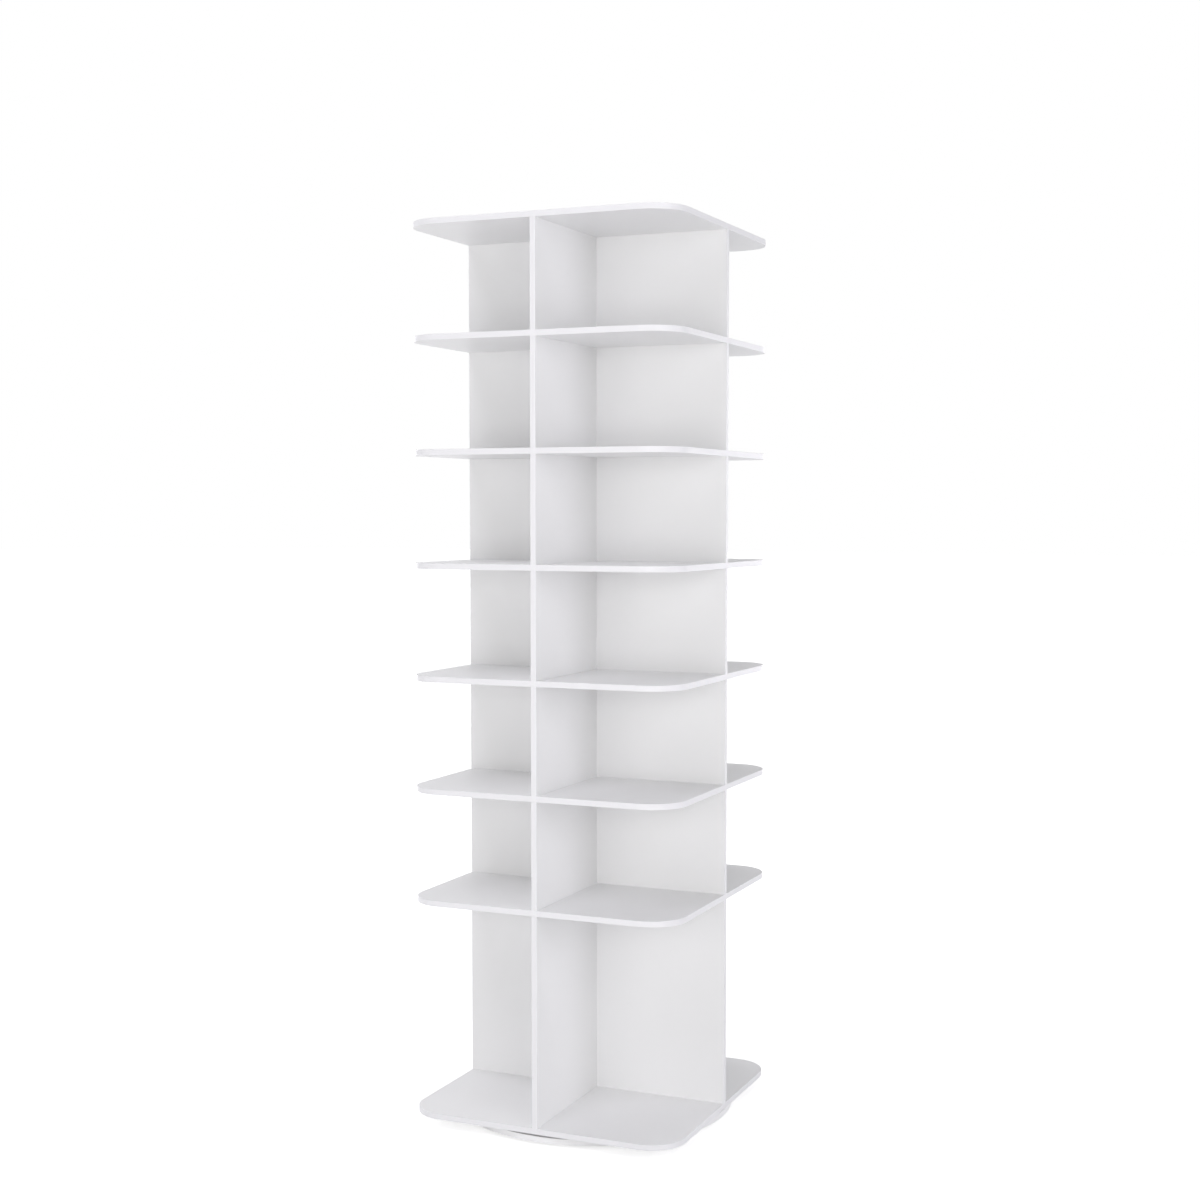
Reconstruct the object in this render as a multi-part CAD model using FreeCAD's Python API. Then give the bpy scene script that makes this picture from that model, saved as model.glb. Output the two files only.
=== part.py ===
import FreeCAD, Part
import math
import os

# Rotating shoe tower.
#
# Eight square shelves with round corners stand one above another. In every tier a wide upright
# panel and two half panels make a cross that carries the shelf above, so each tier has four open
# bays. Flat-pack fittings join them: steel bolts run through each shelf and are gripped by cam
# locks in the panels above and below, and wooden dowels keep the panels in line. The whole tower
# turns on a ball-bearing turntable of two pressed plates, which is screwed to a round base on
# rubber pads.
#
# Millimetres. +Z is up and the origin is the middle of the base at the floor. The wide panels
# stand along X. The half panels stand in front of them, towards -Y, and behind them.

# ---- shelves and panels ----
SHELF_SIDE = 600.0
SHELF_CORNER_RADIUS = 75.0
SHELF_THICKNESS = 12.0
PANEL_THICKNESS = 12.0
SHOE_TIERS = 6
SHOE_TIER_HEIGHT = 220.0        # clear height between two shelves
BOOT_TIER_HEIGHT = 435.0        # clear height of the lowest tier
EDGE_BAND_THICKNESS = 1.0       # plastic band glued round each board's edge
EDGE_BAND_ROUNDING = 0.5

# ---- base ----
BASE_SETBACK = 4.0              # from the shelves' sides in to the base's rim
BASE_THICKNESS = 12.0
PAD_RADIUS = 15.0
PAD_THICKNESS = 6.0
PAD_ROUNDING = 0.8
PAD_FROM_BASE_RIM = 20.0        # from the rim to the pad's edge
PAD_COUNT = 8
ACCESS_HOLE_RADIUS = 10.0       # screwdriver reaches the upper plate's screws through it

# ---- turntable ----
TURNTABLE_HEIGHT = 5.0
PLATE_SIDE = 300.0
PLATE_CORNER_RADIUS = 20.0
PLATE_THICKNESS = 1.2
BALLS_FROM_PLATE_EDGE = 25.0    # from the plate's edge to the circle that the balls run on
GROOVE_DEPTH = 0.5              # how deep the balls sit in each plate
BALL_COUNT = 36
BALL_CLEARANCE = 0.05           # between a ball and its groove
CAGE_WIDTH = 10.0
CAGE_THICKNESS = 1.6
CAGE_CLEARANCE = 0.1            # between a ball and its pocket in the cage
COLLAR_FROM_BALLS = 30.0        # from the ball circle in to the lower plate's collar
COLLAR_GAP = 1.5                # between the collar and the upper plate's lip, all round
LIP_WIDTH = 8.5                 # of the upper plate's lip, which the collar's rim holds down
RIM_OVERLAP = 3.0               # how far the collar's rim reaches over the lip
RIM_CLEARANCE = 0.3             # between the rim and the lip under it
PLATE_SCREW_FROM_EDGE = 12.5
PLATE_SCREW_RADIUS = 1.75
PLATE_SCREW_LENGTH = 10.0       # under the head
PLATE_SCREW_HEAD_RADIUS = 3.5
PLATE_SCREW_HEAD_SPACING = 0.8  # between the heads in one plate and those in the other
SCREW_CLEARANCE = 0.25          # round a screw in the plate's hole
PILOT_CLEARANCE = 0.05          # round a thread in the board it is screwed into

# ---- cam locks, bolts and dowels ----
FITTING_FROM_PANEL_END = 40.0   # from an outer or inner end of the cross to the nearest bolt
CAM_RADIUS = 6.0
CAM_FLOOR = 2.5                 # left of the panel behind a cam
CAM_BORE_CLEARANCE = 0.1        # round a cam, and behind it
CAM_FROM_PANEL_EDGE = 24.0
CAM_WALL = 2.0                  # wall of the cam's jaws, which hold the bolt behind its head
CAM_DRIVE_WIDTH = 1.2           # the cross slot that a screwdriver turns
CAM_DRIVE_DEPTH = 1.5
CAM_SOCKET_RADIUS = 2.0         # round hole in the middle of the cam's face
COVER_OVERHANG = 1.5            # of a cover past the cam
COVER_THICKNESS = 0.8
COVER_ROUNDING = 0.35
PEG_CLEARANCE = 0.1             # round a cover's peg in the cam's socket
PEG_END_GAP = 0.3               # between the peg's end and the socket's floor
BOLT_RADIUS = 2.5
BOLT_NECK_RADIUS = 1.4
BOLT_HEAD_RADIUS = 2.3
BOLT_HEAD_LENGTH = 2.6
BOLT_CLEARANCE = 0.25           # round a bolt in its hole, and round its head and neck in the cam
THREAD_HEIGHT = 0.5             # of a single bolt's wood thread, out from the shank
THREAD_FLOOR = 3.0              # left of the top or bottom shelf behind a single bolt
DOWEL_RADIUS = 3.0
DOWEL_IN_PANEL = 14.0
DOWEL_FLOOR = 4.0               # left of the top or bottom shelf behind a short dowel
DOWEL_CLEARANCE = 0.05
DOWEL_CHAMFER = 0.8

# ---- worked out from the sizes above ----
BASE_RADIUS = SHELF_SIDE / 2 - BASE_SETBACK
BASE_BOTTOM = PAD_THICKNESS
BASE_TOP = BASE_BOTTOM + BASE_THICKNESS
BOTTOM_SHELF_BOTTOM = BASE_TOP + TURNTABLE_HEIGHT
TIER_HEIGHTS = [BOOT_TIER_HEIGHT] + [SHOE_TIER_HEIGHT] * SHOE_TIERS
SHELF_BOTTOMS = [BOTTOM_SHELF_BOTTOM]
for clear_height in TIER_HEIGHTS:
    SHELF_BOTTOMS.append(SHELF_BOTTOMS[-1] + SHELF_THICKNESS + clear_height)

BALL_CIRCLE_RADIUS = PLATE_SIDE / 2 - BALLS_FROM_PLATE_EDGE
BALL_RADIUS = TURNTABLE_HEIGHT / 2 - PLATE_THICKNESS + GROOVE_DEPTH
PLATE_SCREW_HEAD_HEIGHT = TURNTABLE_HEIGHT / 2 - PLATE_THICKNESS - PLATE_SCREW_HEAD_SPACING / 2

# The lip and the collar's rim over it stand midway between the lower plate and the tower.
COLLAR_RADIUS = BALL_CIRCLE_RADIUS - COLLAR_FROM_BALLS
COLLAR_OUTSIDE = COLLAR_RADIUS + PLATE_THICKNESS
LIP_INSIDE = COLLAR_OUTSIDE + COLLAR_GAP
LIP_OUTSIDE = LIP_INSIDE + LIP_WIDTH
LIP_BOTTOM = BASE_TOP + (TURNTABLE_HEIGHT - PLATE_THICKNESS - RIM_CLEARANCE) / 2
LIP_TOP = LIP_BOTTOM + PLATE_THICKNESS

CAM_LENGTH = PANEL_THICKNESS - CAM_FLOOR - CAM_BORE_CLEARANCE
CAM_HOLLOW_RADIUS = CAM_RADIUS - CAM_WALL
BOLT_HEAD_ROOM = BOLT_HEAD_RADIUS + BOLT_CLEARANCE
BOLT_SHOULDER_FROM_CAM = math.sqrt(CAM_HOLLOW_RADIUS ** 2 - BOLT_HEAD_ROOM ** 2)
END_BOLT_DEPTH = SHELF_THICKNESS - THREAD_FLOOR
DOWEL_IN_END_SHELF = SHELF_THICKNESS - DOWEL_FLOOR

# Each arm of the cross has its angle from +X, and the side of the panel that its cams open on:
# 1 is the left side for someone looking out along the arm, and -1 the right one. So every cam
# faces the tower's left or its back.
ARMS = {"front": (-90.0, -1), "right": (0.0, 1), "back": (90.0, 1), "left": (180.0, -1)}
HALF_PANEL_ARMS = ("front", "back")
WIDE_PANEL_ARMS = ("right", "left")
PANEL_INNER_END = PANEL_THICKNESS / 2
PANEL_OUTER_END = SHELF_SIDE / 2
PANEL_BOARD_END = PANEL_OUTER_END - EDGE_BAND_THICKNESS
BOLT_STATIONS = (PANEL_INNER_END + FITTING_FROM_PANEL_END, PANEL_OUTER_END - FITTING_FROM_PANEL_END)
DOWEL_STATION = sum(BOLT_STATIONS) / 2

Y_AXIS = FreeCAD.Vector(0, 1, 0)
Z_AXIS = FreeCAD.Vector(0, 0, 1)
ORIGIN = FreeCAD.Vector(0, 0, 0)


# ---- small helpers ----
def box(low, high):
    """A box between two corners."""
    size = [high[i] - low[i] for i in range(3)]
    return Part.makeBox(*size, FreeCAD.Vector(*low))


def rod(radius, start, length, direction=Z_AXIS):
    """A cylinder from a point along a direction."""
    return Part.makeCylinder(radius, length, FreeCAD.Vector(*start), direction)


def turned(shape, degrees):
    """A copy turned about the tower's own axis."""
    copy = shape.copy()
    copy.rotate(ORIGIN, Z_AXIS, degrees)
    return copy


def raised(shape, height):
    """A copy lifted by a height."""
    copy = shape.copy()
    copy.translate(Z_AXIS * height)
    return copy


def revolved(outline, x=0.0, y=0.0):
    """A solid of revolution about a vertical line, from (radius, height) corners."""
    points = [FreeCAD.Vector(radius, 0, height) for radius, height in outline]
    face = Part.Face(Part.makePolygon(points + points[:1]))
    solid = face.revolve(ORIGIN, Z_AXIS, 360)
    solid.translate(FreeCAD.Vector(x, y, 0))
    return solid


def rounded_square(side, radius, bottom, thickness):
    """A square slab about the axis with round corners."""
    half = side / 2
    slab = box((-half, -half, bottom), (half, half, bottom + thickness))
    upright = [e for e in slab.Edges if abs(e.tangentAt(e.FirstParameter).z) > 0.5]
    return slab.makeFillet(radius, upright)


def flat_edges(solid, *heights):
    """The edges that lie whole at one of these heights."""
    found = []
    for edge in solid.Edges:
        span = edge.BoundBox
        if any(abs(span.ZMin - z) < 1e-4 and abs(span.ZMax - z) < 1e-4 for z in heights):
            found.append(edge)
    return found


def export(node, *solids):
    """Writes one node: a single solid, or a group of separate ones."""
    shape = solids[0] if len(solids) == 1 else Part.makeCompound(list(solids))
    shape.exportStep("parts/" + node + ".step")


# ---- boards ----
def arm_holes(radius, station, bottom, height):
    """One upright hole at the same distance out along each arm."""
    return [turned(rod(radius, (station, 0, bottom), height), angle) for angle, side in ARMS.values()]


def shelf(bottom, bolt_holes, dowel_holes):
    """One shelf board without its edge band. The holes are (radius, bottom, height)."""
    side = SHELF_SIDE - 2 * EDGE_BAND_THICKNESS
    board = rounded_square(side, SHELF_CORNER_RADIUS - EDGE_BAND_THICKNESS, bottom, SHELF_THICKNESS)
    cuts = arm_holes(dowel_holes[0], DOWEL_STATION, dowel_holes[1], dowel_holes[2])
    for station in BOLT_STATIONS:
        cuts += arm_holes(bolt_holes[0], station, bolt_holes[1], bolt_holes[2])
    return board.cut(cuts)


def middle_shelf(bottom):
    """A shelf between two tiers, drilled right through for the double bolts and long dowels."""
    bolt_holes = (BOLT_RADIUS + BOLT_CLEARANCE, bottom, SHELF_THICKNESS)
    dowel_holes = (DOWEL_RADIUS + DOWEL_CLEARANCE, bottom, SHELF_THICKNESS)
    return shelf(bottom, bolt_holes, dowel_holes)


def end_shelf(bottom, holes_face_up):
    """The top or bottom shelf, with blind holes in the face that meets the panels."""
    def blind(radius, depth):
        return (radius, bottom + SHELF_THICKNESS - depth if holes_face_up else bottom, depth)

    bolt_holes = blind(BOLT_RADIUS + THREAD_HEIGHT + PILOT_CLEARANCE, END_BOLT_DEPTH)
    dowel_holes = blind(DOWEL_RADIUS + DOWEL_CLEARANCE, DOWEL_IN_END_SHELF)
    return shelf(bottom, bolt_holes, dowel_holes)


def shelf_band(bottom):
    """The plastic band round one shelf, with its outer edges eased."""
    outer = rounded_square(SHELF_SIDE, SHELF_CORNER_RADIUS, bottom, SHELF_THICKNESS)
    outer = outer.makeFillet(EDGE_BAND_ROUNDING, flat_edges(outer, bottom, bottom + SHELF_THICKNESS))
    side = SHELF_SIDE - 2 * EDGE_BAND_THICKNESS
    return outer.cut(rounded_square(side, SHELF_CORNER_RADIUS - EDGE_BAND_THICKNESS, bottom, SHELF_THICKNESS))


def arm_bores(height, arm):
    """The holes at both edges of a panel of this height along one arm, for its fittings."""
    angle, side = ARMS[arm]
    dowel_hole = DOWEL_RADIUS + DOWEL_CLEARANCE
    cuts = [
        rod(dowel_hole, (DOWEL_STATION, 0, 0), DOWEL_IN_PANEL),
        rod(dowel_hole, (DOWEL_STATION, 0, height - DOWEL_IN_PANEL), DOWEL_IN_PANEL),
    ]
    face = PANEL_THICKNESS / 2 * side
    for station in BOLT_STATIONS:
        for cam_height, hole_bottom in (
            (CAM_FROM_PANEL_EDGE, 0),
            (height - CAM_FROM_PANEL_EDGE, height - CAM_FROM_PANEL_EDGE),
        ):
            cuts.append(rod(BOLT_RADIUS + BOLT_CLEARANCE, (station, 0, hole_bottom), CAM_FROM_PANEL_EDGE))
            cuts.append(rod(CAM_RADIUS + CAM_BORE_CLEARANCE, (station, face, cam_height),
                            CAM_LENGTH + CAM_BORE_CLEARANCE, Y_AXIS * -side))
    return [turned(cut, angle) for cut in cuts]


def wide_panel(height):
    """The panel that stands right across the tower, from z = 0, without its edge bands."""
    half = PANEL_THICKNESS / 2
    board = box((-PANEL_BOARD_END, -half, 0), (PANEL_BOARD_END, half, height))
    return board.cut([cut for arm in WIDE_PANEL_ARMS for cut in arm_bores(height, arm)])


def half_panel(height, arm):
    """A panel from the wide panel's face to the shelf's edge, from z = 0, without its edge band."""
    half = PANEL_THICKNESS / 2
    board = box((PANEL_INNER_END, -half, 0), (PANEL_BOARD_END, half, height))
    return turned(board, ARMS[arm][0]).cut(arm_bores(height, arm))


def panel_band(height):
    """The plastic band on an upright edge at the end of +X, with its two long edges eased."""
    half = PANEL_THICKNESS / 2
    band = box((PANEL_BOARD_END, -half, 0), (PANEL_OUTER_END, half, height))
    corners = [
        edge for edge in band.Edges
        if abs(edge.tangentAt(edge.FirstParameter).z) > 0.5 and edge.BoundBox.XMin > PANEL_OUTER_END - 1e-4
    ]
    return band.makeFillet(EDGE_BAND_ROUNDING, corners)


# ---- cam locks, covers, bolts and dowels, each along +X or upright on its station ----
def cam(station, height, side, opens_up):
    """One cam lock. Its jaws open towards the panel's near edge, where the bolt comes in."""
    face = PANEL_THICKNESS / 2 * side
    inwards = Y_AXIS * -side
    body = rod(CAM_RADIUS, (station, face, height), CAM_LENGTH, inwards)
    neck_room = BOLT_NECK_RADIUS + BOLT_CLEARANCE
    near_edge = height + (CAM_RADIUS if opens_up else -CAM_RADIUS)
    low, high = sorted((height, near_edge))
    jaws = box((station - neck_room, -neck_room, low), (station + neck_room, neck_room, high))
    hollow = rod(CAM_HOLLOW_RADIUS, (station, -BOLT_HEAD_ROOM, height), 2 * BOLT_HEAD_ROOM, Y_AXIS)
    socket = rod(CAM_SOCKET_RADIUS, (station, face, height), CAM_DRIVE_DEPTH, inwards)
    reach = CAM_RADIUS - CAM_WALL / 2
    half_slot = CAM_DRIVE_WIDTH / 2
    near, far = sorted((face, face - side * CAM_DRIVE_DEPTH))
    slots = [
        box((station - x, near, height - z), (station + x, far, height + z))
        for x, z in ((reach, half_slot), (half_slot, reach))
    ]
    return body.cut([jaws, hollow, socket] + slots)


def cam_cover(station, height, side):
    """The round cap over a cam, held by a peg in the cam's socket."""
    face = PANEL_THICKNESS / 2 * side
    outside = face + side * COVER_THICKNESS
    disc = rod(CAM_RADIUS + COVER_OVERHANG, (station, face, height), COVER_THICKNESS, Y_AXIS * side)
    rim = [edge for edge in disc.Edges
           if abs(edge.BoundBox.YMin - outside) < 1e-4 and abs(edge.BoundBox.YMax - outside) < 1e-4]
    peg_length = CAM_DRIVE_DEPTH - PEG_END_GAP
    peg = rod(CAM_SOCKET_RADIUS - PEG_CLEARANCE, (station, face, height), peg_length, Y_AXIS * -side)
    return disc.makeFillet(COVER_ROUNDING, rim).fuse(peg).removeSplitter()


def bolt_tip(cam_height, towards_shelf):
    """(radius, height) corners from a bolt's flat end, in its cam, to the start of its shank."""
    shoulder = cam_height + towards_shelf * BOLT_SHOULDER_FROM_CAM
    end = shoulder - towards_shelf * BOLT_HEAD_LENGTH
    shank = cam_height + towards_shelf * (CAM_RADIUS + CAM_BORE_CLEARANCE)
    return [(0, end), (BOLT_HEAD_RADIUS, end), (BOLT_HEAD_RADIUS, shoulder),
            (BOLT_NECK_RADIUS, shoulder), (BOLT_NECK_RADIUS, shank), (BOLT_RADIUS, shank)]


def double_bolt(station, shelf_bottom):
    """A bolt through a shelf, with a head for the cam below it and one for the cam above."""
    low = bolt_tip(shelf_bottom - CAM_FROM_PANEL_EDGE, 1)
    high = bolt_tip(shelf_bottom + SHELF_THICKNESS + CAM_FROM_PANEL_EDGE, -1)
    return revolved(low + high[::-1], station)


def single_bolt(station, shelf_face, into_shelf):
    """A bolt screwed into the face of an end shelf. into_shelf is 1 where the shelf is above."""
    tip = bolt_tip(shelf_face - into_shelf * CAM_FROM_PANEL_EDGE, into_shelf)
    thread_radius = BOLT_RADIUS + THREAD_HEIGHT
    thread_end = shelf_face + into_shelf * END_BOLT_DEPTH
    thread = [(BOLT_RADIUS, shelf_face), (thread_radius, shelf_face), (thread_radius, thread_end),
              (0, thread_end)]
    return revolved(tip + thread, station)


def dowel(bottom, top):
    """A wooden dowel at its station, with chamfered ends."""
    slim = DOWEL_RADIUS - DOWEL_CHAMFER
    outline = [(0, bottom), (slim, bottom), (DOWEL_RADIUS, bottom + DOWEL_CHAMFER),
               (DOWEL_RADIUS, top - DOWEL_CHAMFER), (slim, top), (0, top)]
    return revolved(outline, DOWEL_STATION)


# ---- base ----
def screw_corners():
    """(x, y) of the four screws of a turntable plate."""
    reach = PLATE_SIDE / 2 - PLATE_SCREW_FROM_EDGE
    return [(x, y) for x in (-reach, reach) for y in (-reach, reach)]


def pilot_holes(face, into_board):
    """Blind holes for the plate screws, from a board's face. into_board is 1 upwards, -1 downwards."""
    depth = PLATE_SCREW_LENGTH - PLATE_THICKNESS
    direction = Z_AXIS * into_board
    return [rod(PLATE_SCREW_RADIUS + PILOT_CLEARANCE, (x, y, face), depth, direction)
            for x, y in screw_corners()]


def base_disc():
    """The round base board, with the hole that a screwdriver passes through from below."""
    board = rod(BASE_RADIUS - EDGE_BAND_THICKNESS, (0, 0, BASE_BOTTOM), BASE_THICKNESS)
    access = rod(ACCESS_HOLE_RADIUS, (math.hypot(*screw_corners()[0]), 0, BASE_BOTTOM), BASE_THICKNESS)
    return board.cut([access] + pilot_holes(BASE_TOP, -1))


def base_band():
    """The plastic band round the base."""
    rounding = EDGE_BAND_ROUNDING
    outer = rod(BASE_RADIUS, (0, 0, BASE_BOTTOM), BASE_THICKNESS)
    outer = outer.makeFillet(rounding, flat_edges(outer, BASE_BOTTOM, BASE_TOP))
    return outer.cut(rod(BASE_RADIUS - EDGE_BAND_THICKNESS, (0, 0, BASE_BOTTOM), BASE_THICKNESS))


def foot_pads():
    """The rubber pads under the base, evenly spaced near its rim."""
    pad = rod(PAD_RADIUS, (BASE_RADIUS - PAD_FROM_BASE_RIM - PAD_RADIUS, 0, 0), PAD_THICKNESS)
    pad = pad.makeFillet(PAD_ROUNDING, flat_edges(pad, 0))
    return [turned(pad, 360 / PAD_COUNT * (i + 0.5)) for i in range(PAD_COUNT)]


# ---- turntable ----
def plate_blank(bottom, hole_radius):
    """A square pressed plate with a round opening and four screw holes."""
    plate = rounded_square(PLATE_SIDE, PLATE_CORNER_RADIUS, bottom, PLATE_THICKNESS)
    cuts = [rod(hole_radius, (0, 0, bottom), PLATE_THICKNESS)]
    for x, y in screw_corners():
        cuts.append(rod(PLATE_SCREW_RADIUS + SCREW_CLEARANCE, (x, y, bottom), PLATE_THICKNESS))
    return plate.cut(cuts)


def ball_groove():
    """The round groove that the balls run in, as the ring that is taken out of both plates."""
    return Part.makeTorus(BALL_CIRCLE_RADIUS, BALL_RADIUS + BALL_CLEARANCE,
                          FreeCAD.Vector(0, 0, BASE_TOP + TURNTABLE_HEIGHT / 2))


def lower_plate():
    """The plate on the base. Its collar's rim is rolled out over the upper plate's lip."""
    rim_bottom = LIP_TOP + RIM_CLEARANCE
    rim_top = rim_bottom + PLATE_THICKNESS
    rim_edge = LIP_INSIDE + RIM_OVERLAP
    collar = revolved([
        (COLLAR_RADIUS, BASE_TOP), (COLLAR_OUTSIDE, BASE_TOP), (COLLAR_OUTSIDE, rim_bottom),
        (rim_edge, rim_bottom), (rim_edge, rim_top), (COLLAR_RADIUS, rim_top),
    ])
    plate = plate_blank(BASE_TOP, COLLAR_RADIUS)
    return plate.fuse(collar).removeSplitter().cut(ball_groove())


def upper_plate():
    """The plate under the tower. Its inner edge steps down to a lip under the collar's rim."""
    bottom = BOTTOM_SHELF_BOTTOM - PLATE_THICKNESS
    lip = revolved([
        (LIP_INSIDE, LIP_BOTTOM), (LIP_OUTSIDE, LIP_BOTTOM), (LIP_OUTSIDE, BOTTOM_SHELF_BOTTOM),
        (LIP_OUTSIDE - PLATE_THICKNESS, BOTTOM_SHELF_BOTTOM), (LIP_OUTSIDE - PLATE_THICKNESS, LIP_TOP),
        (LIP_INSIDE, LIP_TOP),
    ])
    plate = plate_blank(bottom, LIP_OUTSIDE - PLATE_THICKNESS)
    return plate.fuse(lip).removeSplitter().cut(ball_groove())


def plate_screw(x, y, seat, into_board):
    """A pan-head screw through a plate. seat is the plate's face under the head."""
    top = seat - into_board * PLATE_SCREW_HEAD_HEIGHT
    tip = seat + into_board * PLATE_SCREW_LENGTH
    point = tip - into_board * PLATE_SCREW_RADIUS
    eased = PLATE_SCREW_HEAD_HEIGHT / 2
    outline = [
        (0, top), (PLATE_SCREW_HEAD_RADIUS - eased, top),
        (PLATE_SCREW_HEAD_RADIUS, top + into_board * eased), (PLATE_SCREW_HEAD_RADIUS, seat),
        (PLATE_SCREW_RADIUS, seat), (PLATE_SCREW_RADIUS, point), (0, tip),
    ]
    return revolved(outline, x, y)


def ball_middles():
    """Angles of the balls round the turntable, in degrees."""
    return [360 / BALL_COUNT * i for i in range(BALL_COUNT)]


def balls():
    """The steel balls, half way between the two plates."""
    middle = FreeCAD.Vector(BALL_CIRCLE_RADIUS, 0, BASE_TOP + TURNTABLE_HEIGHT / 2)
    ball = Part.makeSphere(BALL_RADIUS, middle)
    return [turned(ball, angle) for angle in ball_middles()]


def ball_cage():
    """The flat plastic ring that keeps the balls apart."""
    bottom = BASE_TOP + (TURNTABLE_HEIGHT - CAGE_THICKNESS) / 2
    ring = rod(BALL_CIRCLE_RADIUS + CAGE_WIDTH / 2, (0, 0, bottom), CAGE_THICKNESS)
    hole = rod(BALL_CIRCLE_RADIUS - CAGE_WIDTH / 2, (0, 0, bottom), CAGE_THICKNESS)
    pocket = rod(BALL_RADIUS + CAGE_CLEARANCE, (BALL_CIRCLE_RADIUS, 0, bottom), CAGE_THICKNESS)
    return ring.cut([hole] + [turned(pocket, angle) for angle in ball_middles()])


# ---- the assembly ----
def build_base():
    """The parts that stand still."""
    export("base_disc", base_disc())
    export("base_edge_band", base_band())
    export("foot_pads", *foot_pads())
    export("turntable_lower_plate", lower_plate())
    seat = BASE_TOP + PLATE_THICKNESS
    export("lower_plate_screws", *[plate_screw(x, y, seat, -1) for x, y in screw_corners()])


def build_turntable():
    """The balls and their cage, and the plate and screws that turn with the tower."""
    export("bearing_balls", *balls())
    export("ball_cage", ball_cage())
    export("turntable_upper_plate", upper_plate())
    seat = BOTTOM_SHELF_BOTTOM - PLATE_THICKNESS
    export("upper_plate_screws", *[plate_screw(x, y, seat, 1) for x, y in screw_corners()])


def build_shelves():
    """The eight shelves and their edge bands."""
    bottom_shelf = end_shelf(SHELF_BOTTOMS[0], holes_face_up=True)
    export("bottom_shelf", bottom_shelf.cut(pilot_holes(SHELF_BOTTOMS[0], 1)))
    for number, bottom in enumerate(SHELF_BOTTOMS[1:-1], start=1):
        export(f"shelf_{number}", middle_shelf(bottom))
    export("top_shelf", end_shelf(SHELF_BOTTOMS[-1], holes_face_up=False))
    export("shelf_edge_bands", *[shelf_band(bottom) for bottom in SHELF_BOTTOMS])


def build_panels():
    """The wide panel and the two half panels of each tier, and the bands on their outer edges."""
    bands = []
    for tier, height in enumerate(TIER_HEIGHTS):
        floor = SHELF_BOTTOMS[tier] + SHELF_THICKNESS
        name = f"tier_{tier}" if tier else "boot_tier"
        export(f"{name}_wide_panel", raised(wide_panel(height), floor))
        for arm in HALF_PANEL_ARMS:
            export(f"{name}_{arm}_panel", raised(half_panel(height, arm), floor))
        band = panel_band(height)
        bands += [raised(turned(band, angle), floor) for angle, side in ARMS.values()]
    export("panel_edge_bands", *bands)


def build_fittings():
    """The cams and their covers, the bolts and the dowels, all in groups of equal pieces."""
    cams, covers, double_bolts, single_bolts, long_dowels, short_dowels = [], [], [], [], [], []
    for angle, side in ARMS.values():
        for tier, height in enumerate(TIER_HEIGHTS):
            floor = SHELF_BOTTOMS[tier] + SHELF_THICKNESS
            for cam_height, opens_up in (
                (floor + CAM_FROM_PANEL_EDGE, False),
                (floor + height - CAM_FROM_PANEL_EDGE, True),
            ):
                for station in BOLT_STATIONS:
                    cams.append(turned(cam(station, cam_height, side, opens_up), angle))
                    covers.append(turned(cam_cover(station, cam_height, side), angle))
        for bottom in SHELF_BOTTOMS[1:-1]:
            double_bolts += [turned(double_bolt(station, bottom), angle) for station in BOLT_STATIONS]
            top = bottom + SHELF_THICKNESS + DOWEL_IN_PANEL
            long_dowels.append(turned(dowel(bottom - DOWEL_IN_PANEL, top), angle))
        lowest_face = SHELF_BOTTOMS[0] + SHELF_THICKNESS
        highest_face = SHELF_BOTTOMS[-1]
        for station in BOLT_STATIONS:
            single_bolts.append(turned(single_bolt(station, lowest_face, -1), angle))
            single_bolts.append(turned(single_bolt(station, highest_face, 1), angle))
        for bottom, top in (
            (lowest_face - DOWEL_IN_END_SHELF, lowest_face + DOWEL_IN_PANEL),
            (highest_face - DOWEL_IN_PANEL, highest_face + DOWEL_IN_END_SHELF),
        ):
            short_dowels.append(turned(dowel(bottom, top), angle))
    export("cam_locks", *cams)
    export("cam_covers", *covers)
    export("double_bolts", *double_bolts)
    export("single_bolts", *single_bolts)
    export("long_dowels", *long_dowels)
    export("short_dowels", *short_dowels)


os.makedirs("parts", exist_ok=True)
build_base()
build_turntable()
build_shelves()
build_panels()
build_fittings()
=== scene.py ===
import math

import bmesh
import bpy
from mathutils import Matrix, Vector


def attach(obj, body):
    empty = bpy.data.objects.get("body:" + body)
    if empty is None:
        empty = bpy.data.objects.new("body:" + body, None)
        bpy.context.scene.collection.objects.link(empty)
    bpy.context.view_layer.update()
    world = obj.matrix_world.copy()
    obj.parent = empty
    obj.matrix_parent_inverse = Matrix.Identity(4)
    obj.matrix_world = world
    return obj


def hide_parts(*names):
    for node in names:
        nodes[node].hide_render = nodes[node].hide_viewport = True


# Rotating shoe tower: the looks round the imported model. Metres, +Z up, and the origin is the
# middle of the base at the floor. The pieces follow in the order in which the tower is built up.

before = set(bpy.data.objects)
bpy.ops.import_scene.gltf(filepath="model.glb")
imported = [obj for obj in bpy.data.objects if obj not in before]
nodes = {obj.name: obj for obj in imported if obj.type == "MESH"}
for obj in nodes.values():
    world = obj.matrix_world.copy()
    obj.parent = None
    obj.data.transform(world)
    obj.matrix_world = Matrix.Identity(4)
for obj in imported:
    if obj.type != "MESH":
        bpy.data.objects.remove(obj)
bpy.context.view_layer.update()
bpy.ops.object.select_all(action="DESELECT")

# ------------------------------------------------------------------------------ camera
# It stands in front of the tower and to its right, at about two thirds of the tower's height,
# and looks down by a few degrees. The small shift keeps the tower's place in the frame.
CAMERA_PLACE = (1.5708, -3.4794, 1.2854)
CAMERA_TURN = (math.radians(86.477), math.radians(-0.042), math.radians(23.15))
CAMERA_LENS = 53.445            # millimetres, as the sensor's width
CAMERA_SENSOR = 36.0
CAMERA_SHIFT = (-0.02578, 0.0170)
CAMERA_REACH = (0.05, 60.0)     # from the nearest to the farthest that it sees

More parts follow.
